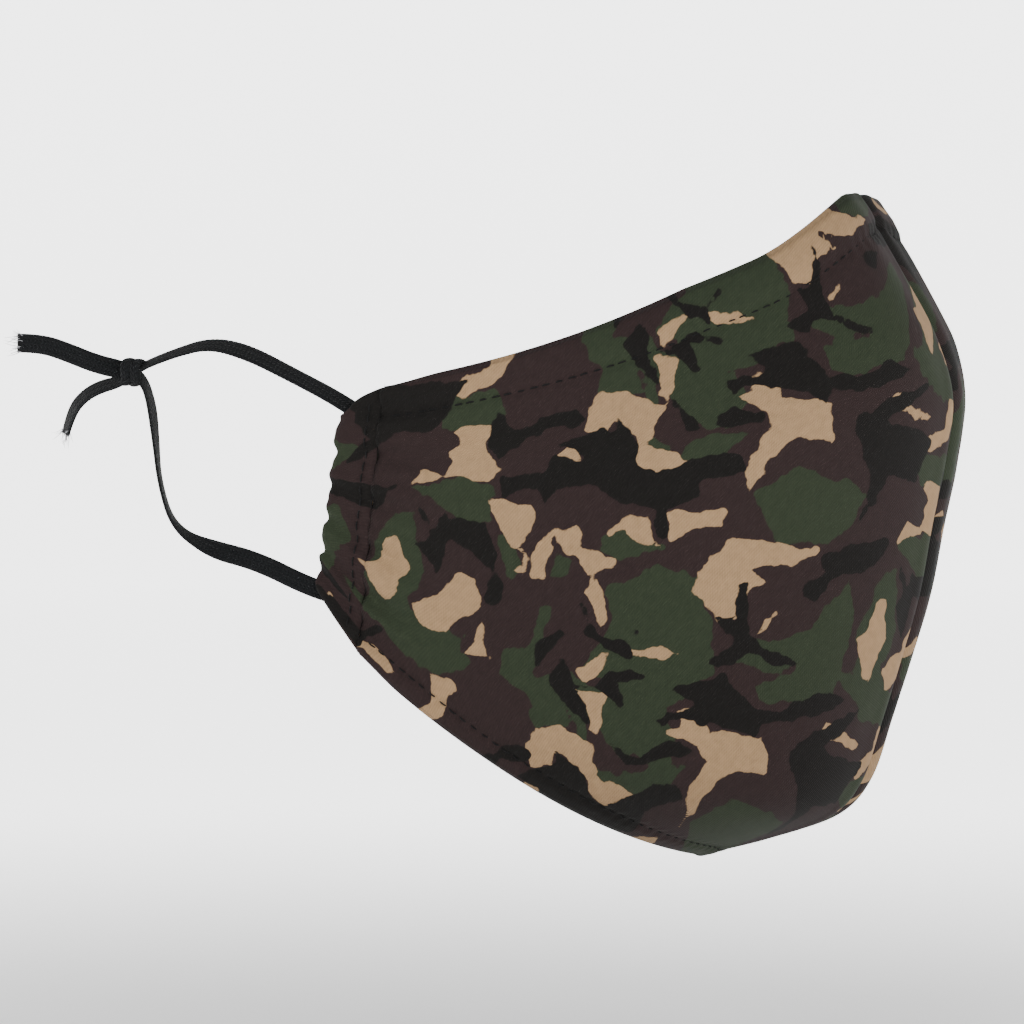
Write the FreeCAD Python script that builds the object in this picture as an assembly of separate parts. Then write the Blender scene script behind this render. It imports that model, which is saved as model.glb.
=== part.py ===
"""Contoured two-panel cloth face mask, upright as worn.

The mask faces -Y, +Z is up, and the plane X = 0 holds the centre seam. The wearer's right side is -X.
The origin is in the middle of the face opening, between the two side casings. Lengths are millimetres.
"""

import FreeCAD
import Part
import math
import os

V = FreeCAD.Vector

# Driving dimensions
HALF_WIDTH = 58.0            # centre seam to gather line, across the face
FULLNESS = 5.0               # how far a panel puffs out beyond a plain oval
SHOULDER = 4.0               # how far it stands in front of its oval beside the seam over the nose
SHOULDER_RISE = (0.71, 0.86) # shares of the seam between which the shoulder rises
SHOULDER_REACH = 0.5         # share of the panel's width that it takes up
GATHER_TOP = (-11.5, 21.0)   # (Y, Z) of the top end of the gather line
GATHER_FOOT = (-6.5, -31.0)  # (Y, Z) of its bottom end
TOP_SAG = 6.2                # dip of the top edge below a straight line
HEM_SAG = 5.6                # the same for the bottom hem
EDGE_TURN = 20.0             # degrees: the edges run straight when seen this far round from the side
CLOTH = 0.5                  # thickness of the outer cloth and of the lining
LAYER_GAP = 0.2              # air between two layers of cloth
WIRE = (4.0, 0.6, 88.0)      # nose wire: width, thickness, length
THREAD = 0.5                 # width of a row of sewing thread
TOP_HEM = 9.0                # depth of the turned top hem, the channel of the nose wire
BOTTOM_HEM = 5.0             # depth of the turned bottom hem
SEAM_ALLOWANCE = 5.0         # cloth turned back on each side of the centre seam
CASING_THICK = 3.2           # thickness of the gathered side casing
CASING_BORE = (5.0, 1.5)     # the channel through it: along the face, across the cloth
ELASTIC = (3.6, 1.1)         # braided elastic: width, thickness
LOOP_SPLAY = 12.0            # degrees that the ear loops stand out from straight back
RUN_SHARE = 0.45             # share of the shorter run that each bend of the elastic takes

# Centre seam from the chin end to the nose bridge, (Y, Z)
SEAM = [(-60.5, -74.5), (-74.5, -70.8), (-87.6, -65.9), (-94.2, -58.5), (-98.5, -46.0),
        (-102.6, -33.0), (-106.3, -20.0), (-108.9, -6.0), (-111.6, 7.0), (-112.9, 19.5),
        (-109.0, 31.5), (-102.5, 43.5), (-92.5, 60.5)]
SEAM_LENGTH = 165.0

# Side casing seen from the side, (Y, Z), and the line that its elastic follows
CASING = [(-11.1, 20.8), (-7.6, 19.6), (-5.8, 16.4), (-2.6, 16.2), (2.4, -17.0), (-2.6, -17.6),
          (-6.1, -30.6)]
CASING_X = 57.0
MOUTH_TOP = (-3.2, 19.1)
MOUTH_FOOT = (2.0, -19.5)
CHANNEL_INSET = 3.1          # the channel runs this far in front of the line between the mouths

# Ear loops, each in its own plane: (distance behind the upper mouth, height Z).
# The right one stands up; the left one hangs down behind the panels.
LOOPS = {
    "right": {
        "upper": [(1.2, 18.8), (11.0, 23.9), (19.5, 28.2), (27.0, 30.0), (34.2, 28.0), (41.0, 25.3)],
        "lower": [(40.8, 23.0), (39.0, 18.2), (38.2, 10.4), (37.6, 2.4), (34.9, -6.6), (27.6, -10.9),
                  (17.9, -13.3), (7.3, -18.5)],
        "long": [(44.7, 25.5), (50.3, 25.9), (56.0, 28.2), (61.3, 30.0), (66.2, 30.1)],
        "short": [(44.7, 21.6), (49.2, 21.2), (52.8, 19.5), (55.4, 16.3), (56.6, 11.9)],
        "knot": (42.9, 24.2),
    },
    "left": {
        "upper": [(1.2, 18.6), (10.4, 21.8), (19.0, 21.4), (27.0, 18.0), (32.2, 11.4), (34.2, 3.8)],
        "lower": [(34.8, 0.4), (36.4, -7.0), (36.6, -14.6), (34.0, -21.8), (28.2, -26.8), (20.8, -28.4),
                  (13.9, -25.8), (7.7, -19.0)],
        "long": [(38.3, 1.9), (40.3, -0.9), (41.6, -4.3), (42.5, -8.2), (42.7, -12.4), (42.2, -16.6)],
        "short": [(36.9, 6.0), (39.6, 9.0), (41.2, 12.6), (41.8, 16.4), (41.6, 20.2)],
        "knot": (35.8, 2.6),
    },
}
KNOT_SIZE = (4.8, 5.0, 6.4)  # along the loop, across it, high

SIDES = {"right": -1.0, "left": 1.0}


def seam_point(v):
    """Point on the centre seam: a smooth curve, v = 0 at the chin and 1 at the bridge."""
    count = len(SEAM) - 1
    step = min(int(v * count), count - 1)
    f = v * count - step
    ends = [SEAM[max(step - 1, 0)], SEAM[step], SEAM[step + 1], SEAM[min(step + 2, count)]]
    if step == 0:
        ends[0] = tuple(2 * a - b for a, b in zip(SEAM[0], SEAM[1]))
    if step == count - 1:
        ends[3] = tuple(2 * a - b for a, b in zip(SEAM[-1], SEAM[-2]))
    place = []
    for a, b, c, d in zip(*ends):
        place.append(0.5 * (2 * b + (c - a) * f + (2 * a - 5 * b + 4 * c - d) * f ** 2
                            + (3 * b - a - 3 * c + d) * f ** 3))
    return place


def ease(t):
    """Smooth step from 0 to 1 as t goes from 0 to 1."""
    t = min(max(t, 0), 1)
    return t * t * (3 - 2 * t)


def surface(u, v):
    """Outer face of the left panel: an oval cross-section from the seam, u = 0, to the gather line, u = 1."""
    seam_y, seam_z = seam_point(v)
    end_y = GATHER_FOOT[0] + (GATHER_TOP[0] - GATHER_FOOT[0]) * v
    end_z = GATHER_FOOT[1] + (GATHER_TOP[1] - GATHER_FOOT[1]) * v
    angle = abs(u) * math.pi / 2
    depth = end_y - seam_y
    across = HALF_WIDTH * math.sin(angle)
    back = depth * (1 - math.cos(angle))
    turn = math.radians(EDGE_TURN)
    whole = HALF_WIDTH * math.sin(turn) + depth * math.cos(turn)
    share = (across * math.sin(turn) + back * math.cos(turn)) / whole
    sag = (HEM_SAG + (TOP_SAG - HEM_SAG) * v) * 4 * share * (1 - share)
    puff = FULLNESS * math.sin(math.pi * v) ** 0.7 * math.sin(2 * angle)
    over_nose = ease((v - SHOULDER_RISE[0]) / (SHOULDER_RISE[1] - SHOULDER_RISE[0]))
    shoulder = SHOULDER * over_nose * math.sin(math.pi * min(abs(u) / SHOULDER_REACH, 1))
    x = (across + puff) * (1 if u >= 0 else -1)
    return V(x, seam_y + back - shoulder, seam_z + (end_z - seam_z) * share - sag)


def normal(u, v):
    """Outward direction of the panel, from two small steps along it."""
    step = 0.004
    v = min(max(v, step), 1 - step)
    along = surface(u + step, v) - surface(u - step, v)
    up = surface(u, v + step) - surface(u, v - step)
    return along.cross(up).normalize()


def face_grid(us, vs, depth):
    """Smooth face through the panel's points at a depth below its outer side."""
    rows = [[surface(u, v) - normal(u, v) * depth for v in vs] for u in us]
    sheet = Part.BSplineSurface()
    sheet.interpolate(rows)
    return sheet.toShape()


def spread(low, high, count):
    """Evenly spaced values from low to high."""
    return [low + (high - low) * i / (count - 1) for i in range(count)]


def cloth(u_range, v_range, depth, thick, cells=(19, 45)):
    """Closed sheet of cloth between two depths, its rim closed with ruled faces."""
    us = spread(u_range[0], u_range[1], cells[0])
    vs = spread(v_range[0], v_range[1], cells[1])
    outer = face_grid(us, vs, depth)
    inner = face_grid(us, vs, depth + thick)
    rim = [Part.makeRuledSurface(a, b) for a, b in zip(outer.Edges, inner.Edges)]
    shell = Part.makeShell([outer, inner] + rim)
    shell.sewShape()
    solid = Part.makeSolid(shell)
    if solid.Volume < 0:
        solid.reverse()
    return solid


def place(solid, side):
    """The left-hand solid itself, or its mirror image for the wearer's right."""
    if SIDES[side] > 0:
        return solid
    return solid.mirror(V(0, 0, 0), V(1, 0, 0))


def layer(number):
    """Depth of a layer of cloth below the outer face."""
    return number * (CLOTH + LAYER_GAP)


def outer_panel():
    """Printed outer panel."""
    return cloth((0.003, 0.995), (0.0, 1.0), 0.0, CLOTH)


def lining_panel():
    """Plain lining panel, behind the wire and the seam allowance."""
    return cloth((0.004, 0.985), (0.004, 0.996), layer(1) + WIRE[1] + LAYER_GAP, CLOTH)


def top_hem():
    """Edge of the outer cloth turned in over the lining, which closes the channel of the nose wire."""
    return cloth((0.004, 0.98), (1 - TOP_HEM / SEAM_LENGTH, 0.999), layer(2) + WIRE[1] + LAYER_GAP, CLOTH,
                 (19, 5))


def bottom_hem():
    """Edge of the outer cloth turned in over the lining at the chin."""
    return cloth((0.004, 0.98), (0.001, BOTTOM_HEM / SEAM_LENGTH), layer(2) + WIRE[1] + LAYER_GAP, CLOTH,
                 (19, 5))


def seam_allowance():
    """Cut edges of the outer panel turned back beside the centre seam."""
    reach = SEAM_ALLOWANCE / (HALF_WIDTH * math.pi / 2)
    return cloth((0.003, reach), (BOTTOM_HEM / SEAM_LENGTH, 1 - 1.2 * TOP_HEM / SEAM_LENGTH), layer(1), CLOTH,
                 (5, 45))


def edge_stitching(distance):
    """Row of thread on the outer face beside an edge, at a distance up the seam from the chin end."""
    low = (distance - THREAD / 2) / SEAM_LENGTH
    high = (distance + THREAD / 2) / SEAM_LENGTH
    return cloth((0.01, 0.985), (low, high), -0.4, 0.25, (19, 3))


def seam_stitching():
    """Thread that joins the two panels along the centre seam."""
    half = THREAD / 2 / (HALF_WIDTH * math.pi / 2)
    return cloth((-half, half), (0.03, 0.93), -0.4, 0.25, (3, 33))


def nose_wire():
    """Flat aluminium strip across the bridge of the nose, one piece over both halves."""
    bridge_arc = 117.0
    reach = WIRE[2] / 2 / bridge_arc
    middle = 1 - TOP_HEM / 2 / SEAM_LENGTH
    half = WIRE[0] / 2 / SEAM_LENGTH
    return cloth((-reach, reach), (middle - half, middle + half), layer(1), WIRE[1], (33, 5))


def slab(outline, thick):
    """Flat plate with the given side view, centred on the casing's plane."""
    points = [V(CASING_X - thick / 2, y, z) for y, z in outline]
    wire = Part.makePolygon(points + [points[0]])
    return Part.Face(wire).extrude(V(thick, 0, 0))


def strip_outline(width, overrun):
    """Side view of a straight strip that runs beside the line of the mouths and a little past them."""
    top = V(0, *MOUTH_TOP) - V(0, CHANNEL_INSET, 0)
    foot = V(0, *MOUTH_FOOT) - V(0, CHANNEL_INSET, 0)
    along = (top - foot).normalize()
    across = V(0, along.z, -along.y) * (width / 2)
    corners = [top + along * overrun + across, top + along * overrun - across,
               foot - along * overrun - across, foot - along * overrun + across]
    return [(c.y, c.z) for c in corners]


def side_casing():
    """Gathered edge sewn into a channel, open at its two mouths."""
    body = slab(CASING, CASING_THICK)
    body = body.makeFillet(0.7, [e for e in body.Edges if abs(e.tangentAt(e.FirstParameter).x) < 0.5])
    return body.cut(slab(strip_outline(CASING_BORE[0], 6.0), CASING_BORE[1]))


def casing_elastic():
    """Straight stretch of elastic inside the casing."""
    return slab(strip_outline(ELASTIC[0], -2.2), ELASTIC[1])


def casing_stitching():
    """Row of thread that closes the casing, on the outer face of the gathers."""
    line = [V(CASING_X + CASING_THICK / 2 + 0.03, y, z) for y, z in [(-9.6, 18.6), (-4.9, -25.0)]]
    along = line[1] - line[0]
    across = V(0, along.z, -along.y).normalize() * THREAD
    wire = Part.makePolygon([line[0], line[1], line[1] + across, line[0] + across, line[0]])
    return Part.Face(wire).extrude(V(0.25, 0, 0))


def loop_point(place_on_loop):
    """Point of the ear loop: back from the line of the mouths, turned out by the splay."""
    back, height = place_on_loop
    splay = math.radians(LOOP_SPLAY)
    lean = (MOUTH_FOOT[0] - MOUTH_TOP[0]) * (MOUTH_TOP[1] - height) / (MOUTH_TOP[1] - MOUTH_FOOT[1])
    behind = back - lean
    return V(CASING_X + behind * math.sin(splay), MOUTH_TOP[0] + lean + behind * math.cos(splay), height)


def tube(name, route):
    """Round tube of the elastic's width along straight runs joined by tangent arcs."""
    points = [loop_point(p) for p in route]
    edges = []
    start = points[0]
    radii = []
    for before, corner, after in zip(points, points[1:], points[2:]):
        into = (corner - before).normalize()
        away = (after - corner).normalize()
        half_turn = into.getAngle(away) / 2
        cut = RUN_SHARE * min((corner - before).Length, (after - corner).Length)
        radii.append(cut / math.tan(half_turn))
        first = corner - into * cut
        last = corner + away * cut
        inward = (away - into).normalize()
        middle = corner + inward * (radii[-1] / math.cos(half_turn) - radii[-1])
        edges.append(Part.LineSegment(start, first).toShape())
        edges.append(Part.Arc(first, middle, last).toShape())
        start = last
    edges.append(Part.LineSegment(start, points[-1]).toShape())
    path = Part.Wire(edges)
    ring = Part.Wire(Part.Circle(points[0], points[1] - points[0], ELASTIC[0] / 2).toShape())
    solid = path.makePipeShell([ring], True, False)
    fill = solid.Volume / (math.pi * ELASTIC[0] ** 2 / 4 * path.Length)
    print(name, "length %.1f" % path.Length, "radii", ["%.1f" % r for r in radii], "fill %.3f" % fill)
    return solid


def knot(centre):
    """Overhand knot: an upright barrel, the outer shape of the wrapped elastic."""
    ball = Part.makeSphere(1.0)
    shape = FreeCAD.Matrix()
    shape.scale(KNOT_SIZE[1] / 2, KNOT_SIZE[0] / 2, KNOT_SIZE[2] / 2)
    barrel = ball.transformGeometry(shape)
    barrel.rotate(V(0, 0, 0), V(0, 0, 1), -LOOP_SPLAY)
    barrel.translate(loop_point(centre))
    return barrel


def half_mask():
    """Every left-hand piece of the cloth and its casing by name."""
    return {
        "outer_panel": outer_panel(),
        "lining_panel": lining_panel(),
        "top_hem": top_hem(),
        "bottom_hem": bottom_hem(),
        "seam_allowance": seam_allowance(),
        "top_stitching": edge_stitching(SEAM_LENGTH - TOP_HEM),
        "bottom_stitching": edge_stitching(BOTTOM_HEM),
        "side_casing": side_casing(),
        "casing_elastic": casing_elastic(),
        "casing_stitching": casing_stitching(),
    }


def ear_loop(side):
    """The elastic and knot of one side's loop, modelled on the left."""
    route = LOOPS[side]
    return {
        "ear_loop_upper": tube(side + " upper run", route["upper"]),
        "ear_loop_lower": tube(side + " lower run", route["lower"]),
        "knot_tail_long": tube(side + " long tail", route["long"]),
        "knot_tail_short": tube(side + " short tail", route["short"]),
        "ear_loop_knot": knot(route["knot"]),
    }


def main():
    """Write one STEP file for each piece."""
    os.makedirs("parts", exist_ok=True)
    pieces = {"nose_wire": nose_wire(), "seam_stitching": seam_stitching()}
    shell = half_mask()
    for side in SIDES:
        for name, solid in {**shell, **ear_loop(side)}.items():
            pieces[name + "_" + side] = place(solid, side)
    for name, solid in pieces.items():
        print(name, "valid" if solid.isValid() else "NOT VALID", "%.1f mm3" % solid.Volume, len(solid.Solids))
        solid.exportStep("parts/" + name + ".step")


main()
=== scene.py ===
"""Contoured camouflage face mask, built as a Blender add-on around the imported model.

The mask faces -Y, +Z is up and the centre seam lies in the plane X = 0. The wearer's right is -X.
Every surface is a function of two shares: u runs from the centre seam, 0, to the gather line, 1, and
v runs from the chin end of the seam, 0, to the bridge of the nose, 1. Lengths are metres.
"""

import bpy
import numpy as np
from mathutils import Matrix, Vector


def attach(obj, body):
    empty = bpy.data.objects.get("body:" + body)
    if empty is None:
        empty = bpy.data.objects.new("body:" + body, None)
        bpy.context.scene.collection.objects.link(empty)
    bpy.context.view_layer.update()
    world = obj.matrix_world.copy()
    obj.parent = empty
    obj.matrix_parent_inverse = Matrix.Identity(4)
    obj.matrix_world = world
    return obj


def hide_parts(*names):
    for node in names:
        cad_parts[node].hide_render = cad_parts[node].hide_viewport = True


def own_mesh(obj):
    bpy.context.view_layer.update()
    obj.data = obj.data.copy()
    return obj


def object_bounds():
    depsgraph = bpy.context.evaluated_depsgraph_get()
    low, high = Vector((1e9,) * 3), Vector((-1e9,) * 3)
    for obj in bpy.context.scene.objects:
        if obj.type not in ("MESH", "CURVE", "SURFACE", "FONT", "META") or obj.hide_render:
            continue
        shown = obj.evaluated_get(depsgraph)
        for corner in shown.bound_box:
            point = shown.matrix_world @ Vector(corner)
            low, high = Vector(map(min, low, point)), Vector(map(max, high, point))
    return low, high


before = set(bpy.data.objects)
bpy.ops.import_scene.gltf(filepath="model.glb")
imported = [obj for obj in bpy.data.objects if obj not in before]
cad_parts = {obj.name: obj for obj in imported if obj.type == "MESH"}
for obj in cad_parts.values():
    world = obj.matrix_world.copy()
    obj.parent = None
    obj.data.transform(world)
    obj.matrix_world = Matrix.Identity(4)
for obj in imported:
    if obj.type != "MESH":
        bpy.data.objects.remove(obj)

CAD_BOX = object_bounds()

bl_info = {
    "name": "Contoured Face Mask",
    "version": (1, 0, 0),
    "blender": (4, 5, 0),
    "location": "View3D > Sidebar > Face Mask",
    "description": "Two-panel cloth face mask with a nose wire, gathered casings and knotted ear loops",
    "category": "Add Mesh",
}

MM = 0.001
SIDES = {"right": -1.0, "left": 1.0}
SHELL = "mask_shell"

# Centre seam from the chin end to the nose bridge, (Y, Z) in millimetres
SEAM = np.array([(-60.5, -74.5), (-74.5, -70.8), (-87.6, -65.9), (-94.2, -58.5), (-98.5, -46.0),
                 (-102.6, -33.0), (-106.3, -20.0), (-108.9, -6.0), (-111.6, 7.0), (-112.9, 19.5),
                 (-109.0, 31.5), (-102.5, 43.5), (-92.5, 60.5)]) * MM
GATHER_TOP = np.array((-11.5, 21.0)) * MM
GATHER_FOOT = np.array((-6.5, -31.0)) * MM
CASING_TOP = np.array((-2.4, 17.6)) * MM     # rear edge of the casing, (Y, Z)
CASING_FOOT = np.array((2.6, -18.6)) * MM
CASING_X = 57.0 * MM
TOP_SAG = 6.2 * MM
HEM_SAG = 5.6 * MM
EDGE_TURN = np.radians(20.0)
SEAM_OVERLAP = 0.03 * MM         # the panels cross the middle plane by this much, so no light shows
SEAM_ROW_DEPTH = 1.9 * MM        # the seam's own stitches lie this far inside
LAYER_GAP = 0.2 * MM             # air between two layers of cloth
FOLD_ROOM = 1.0 * MM             # room for the turned layers inside a hem
SHOULDER_RISE = (0.71, 0.86)     # shares of the seam between which the shoulder over the nose rises
SHOULDER_REACH = 0.5             # share of the panel's width that it takes up

# Ear loop routes: (distance behind the upper mouth, height, distance off the loop's plane), millimetres.
# Each strand starts in the casing, passes through the knot and ends in a tail.
MOUTH_TOP = np.array((-3.2, 19.1)) * MM
MOUTH_FOOT = np.array((2.0, -19.5)) * MM
CHANNEL_INSET = 3.1 * MM         # the channel runs this far in front of the line between the mouths
LOOPS = {
    "right": {
        "upper_strand": [(-2.6, 16.2, 0.0), (1.2, 18.8, 0.0), (11.0, 23.9, 0.0), (19.5, 28.2, 0.0),
                         (27.0, 30.0, 0.0), (34.2, 28.0, 0.0), (41.0, 25.3, 0.5), (44.7, 22.4, 0.6),
                         (49.2, 21.4, 0.3), (52.8, 19.5, 0.0), (55.4, 16.3, 0.0), (56.6, 11.9, 0.0)],
        "lower_strand": [(3.4, -19.6, 0.0), (7.3, -18.5, 0.0), (17.9, -13.3, 0.0), (27.6, -10.9, 0.0),
                         (34.9, -6.6, 0.0), (37.6, 2.4, 0.0), (38.2, 10.4, 0.0), (39.0, 18.2, 0.0),
                         (40.8, 23.0, -0.5), (44.7, 24.6, -0.6), (50.3, 25.9, 0.0), (56.0, 28.2, 0.0),
                         (61.3, 30.0, 0.0), (66.2, 30.1, 0.0)],
        "knot": (42.9, 24.2, 0.0),
    },
    "left": {
        "upper_strand": [(-2.6, 16.2, 0.0), (1.2, 18.6, 0.0), (10.4, 21.8, 0.0), (19.0, 21.4, 0.0),
                         (27.0, 18.0, 0.0), (32.2, 11.4, 0.0), (34.2, 3.8, 0.5), (36.9, 4.4, 0.6),
                         (39.6, 9.0, 0.0), (41.2, 12.6, 0.0), (41.8, 16.4, 0.0), (41.6, 20.2, 0.0)],
        "lower_strand": [(3.6, -17.6, 0.0), (7.7, -19.0, 0.0), (13.9, -25.8, 0.0), (20.8, -28.4, 0.0),
                         (28.2, -26.8, 0.0), (34.0, -21.8, 0.0), (36.6, -14.6, 0.0), (36.4, -7.0, 0.0),
                         (34.8, 0.4, -0.5), (38.3, 1.9, -0.6), (40.3, -0.9, 0.0), (41.6, -4.3, 0.0),
                         (42.5, -8.2, 0.0), (42.7, -12.4, 0.0), (42.2, -16.6, 0.0)],
        "knot": (35.8, 2.6, 0.0),
    },
}
REPLACED = {
    "upper_strand": ("ear_loop_upper", "knot_tail_short"),
    "lower_strand": ("ear_loop_lower", "knot_tail_long"),
}

# How far the flat face of a strand is turned away from the side, radians: (share of its length, turn)
TWISTS = {
    "upper_strand": [(0.0, 0.75), (0.20, 0.8), (0.38, 0.7), (0.48, 0.95), (0.58, 1.1), (0.70, 1.15),
                     (0.80, 0.8), (0.90, 0.8), (1.0, 1.0)],
    "lower_strand": [(0.0, 0.0), (0.24, 0.1), (0.32, 1.1), (0.38, 1.5), (0.43, 1.62), (0.50, 1.62),
                     (0.56, 1.5), (0.63, 1.33), (0.70, 1.4), (0.77, 0.1), (1.0, 0.0)],
}


# ---------------------------------------------------------------- settings

class MaskSizes(bpy.types.PropertyGroup):
    """Sizes of the mask's cloth, thread and elastic"""

    half_width: bpy.props.FloatProperty(
        name="Half width", description="Centre seam to gather line, across the face",
        default=0.058, min=0.04, max=0.08, unit="LENGTH")
    fullness: bpy.props.FloatProperty(
        name="Fullness", description="How far a panel puffs out beyond a plain oval",
        default=0.005, min=0.0, max=0.012, unit="LENGTH")
    shoulder: bpy.props.FloatProperty(
        name="Shoulder", description="How far it stands in front of its oval beside the seam over the nose",
        default=0.004, min=0.0, max=0.008, unit="LENGTH")
    bridge_rise: bpy.props.FloatProperty(
        name="Bridge rise", description="How far the top edge is lifted beside the nose bridge",
        default=0.0026, min=0.0, max=0.008, unit="LENGTH")
    cloth: bpy.props.FloatProperty(
        name="Cloth", description="Thickness of one layer of cloth",
        default=0.0005, min=0.0002, max=0.002, unit="LENGTH")
    top_hem: bpy.props.FloatProperty(
        name="Top hem", description="Depth of the turned hem that holds the nose wire",
        default=0.009, min=0.005, max=0.015, unit="LENGTH")
    bottom_hem: bpy.props.FloatProperty(
        name="Bottom hem", description="Depth of the turned hem under the chin",
        default=0.005, min=0.003, max=0.012, unit="LENGTH")
    gathers: bpy.props.FloatProperty(
        name="Gathers", description="Height of the folds that the elastic draws into the casing",
        default=0.0011, min=0.0, max=0.003, unit="LENGTH")
    elastic_width: bpy.props.FloatProperty(
        name="Elastic width", description="Width of the flat braided elastic",
        default=0.0038, min=0.002, max=0.008, unit="LENGTH")
    elastic_thick: bpy.props.FloatProperty(
        name="Elastic thickness", description="Thickness of the flat braided elastic",
        default=0.0007, min=0.0004, max=0.003, unit="LENGTH")
    stitch: bpy.props.FloatProperty(
        name="Stitch", description="Length from one stitch to the next",
        default=0.0026, min=0.0015, max=0.005, unit="LENGTH")
    loop_splay: bpy.props.FloatProperty(
        name="Loop splay", description="How far the ear loops stand out from straight back",
        default=float(np.radians(12.0)), min=0.0, max=0.8, subtype="ANGLE")


class MaskColours(bpy.types.PropertyGroup):
    """Colours of the printed cloth, lining, thread, elastic and wire"""

    brown: bpy.props.FloatVectorProperty(
        name="Brown", description="Ground colour of the print", subtype="COLOR", size=3,
        default=(0.0152, 0.0091, 0.0088), min=0.0, max=1.0)
    green: bpy.props.FloatVectorProperty(
        name="Green", description="Leaf colour of the print", subtype="COLOR", size=3,
        default=(0.0155, 0.0206, 0.0112), min=0.0, max=1.0)
    tan: bpy.props.FloatVectorProperty(
        name="Tan", description="Light colour of the print", subtype="COLOR", size=3,
        default=(0.200, 0.128, 0.069), min=0.0, max=1.0)
    black: bpy.props.FloatVectorProperty(
        name="Black", description="Branch colour of the print", subtype="COLOR", size=3,
        default=(0.0046, 0.0040, 0.0035), min=0.0, max=1.0)
    lining: bpy.props.FloatVectorProperty(
        name="Lining", description="Plain inner cloth", subtype="COLOR", size=3,
        default=(0.036, 0.036, 0.038), min=0.0, max=1.0)
    thread: bpy.props.FloatVectorProperty(
        name="Thread", description="Sewing thread", subtype="COLOR", size=3,
        default=(0.005, 0.005, 0.005), min=0.0, max=1.0)
    elastic: bpy.props.FloatVectorProperty(
        name="Elastic", description="Braided elastic", subtype="COLOR", size=3,
        default=(0.0022, 0.0026, 0.0030), min=0.0, max=1.0)
    fibre: bpy.props.FloatVectorProperty(
        name="Fibre", description="Frayed rubber and yarn at the cut ends", subtype="COLOR", size=3,
        default=(0.26, 0.26, 0.27), min=0.0, max=1.0)


def sizes():
    """The scene's size settings."""
    return bpy.context.scene.mask_sizes


def colours():
    """The scene's colour settings."""
    return bpy.context.scene.mask_colours


# ---------------------------------------------------------------- curves and surfaces

def smooth_curve(points, share):
    """Catmull-Rom curve through points evenly counted in share: each span is the cubic of four points."""
    count = len(points) - 1
    padded = np.vstack([2 * points[0] - points[1], points, 2 * points[-1] - points[-2]])
    place = np.clip(np.asarray(share) * count, 0, count - 1e-9)
    span = place.astype(int)
    f = (place - span)[..., None]
    a, b, c, d = padded[span], padded[span + 1], padded[span + 2], padded[span + 3]
    square, cube = 2 * a - 5 * b + 4 * c - d, 3 * b - a - 3 * c + d
    return 0.5 * (2 * b + (c - a) * f + square * f ** 2 + cube * f ** 3)


def ease(x, low, high):
    """Smooth step from 0 at low to 1 at high: three squares less two cubes of the share."""
    t = np.clip((x - low) / (high - low), 0, 1)
    return t * t * (3 - 2 * t)


def hump(x, middle, width):
    """Bell of height 1: the exponential of minus the squared distance in widths."""
    return np.exp(-((x - middle) / width) ** 2)


def panel_base(u, v):
    """Left panel without its relief: an oval cross-section from the seam to the gather line.

    Across the face it is the sine of the turned angle and front to back one less its cosine. The height runs
    straight between the two edges as seen EDGE_TURN round from the side, less a parabolic sag and plus the
    bridge rise, which eases in beside the seam and out again a quarter of the way back.
    """
    seam = smooth_curve(SEAM, v)
    end = GATHER_FOOT + (GATHER_TOP - GATHER_FOOT) * v[..., None]
    angle = np.abs(u) * np.pi / 2
    half_width = sizes().half_width
    depth = end[..., 0] - seam[..., 0]
    across = half_width * np.sin(angle)
    back = depth * (1 - np.cos(angle))
    whole = half_width * np.sin(EDGE_TURN) + depth * np.cos(EDGE_TURN)
    share = (across * np.sin(EDGE_TURN) + back * np.cos(EDGE_TURN)) / whole
    sag = (HEM_SAG + (TOP_SAG - HEM_SAG) * v) * 4 * share * (1 - share)
    puff = sizes().fullness * np.sin(np.pi * np.clip(v, 0, 1)) ** 0.7 * np.sin(2 * angle)
    shoulder = sizes().shoulder * ease(v, *SHOULDER_RISE) * np.sin(
        np.pi * np.clip(np.abs(u) / SHOULDER_REACH, 0, 1))
    crown = sizes().bridge_rise * ease(v, 0.78, 1.0) * ease(share, 0.0, 0.07) * (1 - ease(share, 0.08, 0.26))
    x = (across + puff) * np.where(u >= 0, 1, -1)
    height = seam[..., 1] + (end[..., 1] - seam[..., 1]) * share - sag + crown
    return np.stack([x, seam[..., 0] + back - shoulder, height], -1)


def panel_normal(u, v):
    """Outward direction of the panel: the cross product of a small step along u and one along v."""
    step = 0.004
    v = np.clip(v, step, 1 - step)
    along = panel_base(u + step, v) - panel_base(u - step, v)
    up = panel_base(u, v + step) - panel_base(u, v - step)
    out = np.cross(along, up)
    return out / np.linalg.norm(out, axis=-1, keepdims=True)


def edge_run(u, v_edge):
    """Length of the panel up and down for a unit of v, measured over the twenty-fifth beside an edge."""
    v = np.full(np.shape(u), float(v_edge))
    return np.linalg.norm(panel_base(u, v) - panel_base(u, np.abs(v - 0.04)), axis=-1) / 0.04


def hem_depth(u, v_edge):
    """Depth of a turned hem, which narrows towards the centre seam and towards the gather line."""
    full = sizes().top_hem if v_edge > 0.5 else sizes().bottom_hem
    return full * (1 - 0.2 * (1 - ease(np.abs(u), 0.0, 0.12)) - 0.35 * ease(np.abs(u), 0.45, 1.0))


def hem_share(u, v_edge):
    """The same depth as a share of the panel's height there."""
    return hem_depth(u, v_edge) / edge_run(u, v_edge)


def gather_folds(v, seed):
    """Uneven folds along the gather line: three sines whose counts don't divide one another."""
    start = 0.7 * seed
    return (0.60 * np.sin(2 * np.pi * (6.6 * v + 0.25 * np.sin(5 * v + start)) + start)
            + 0.26 * np.sin(2 * np.pi * 11.3 * v + 1.9 + start)
            + 0.26 * np.sin(2 * np.pi * 3.7 * v + 0.6 - start))


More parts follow.
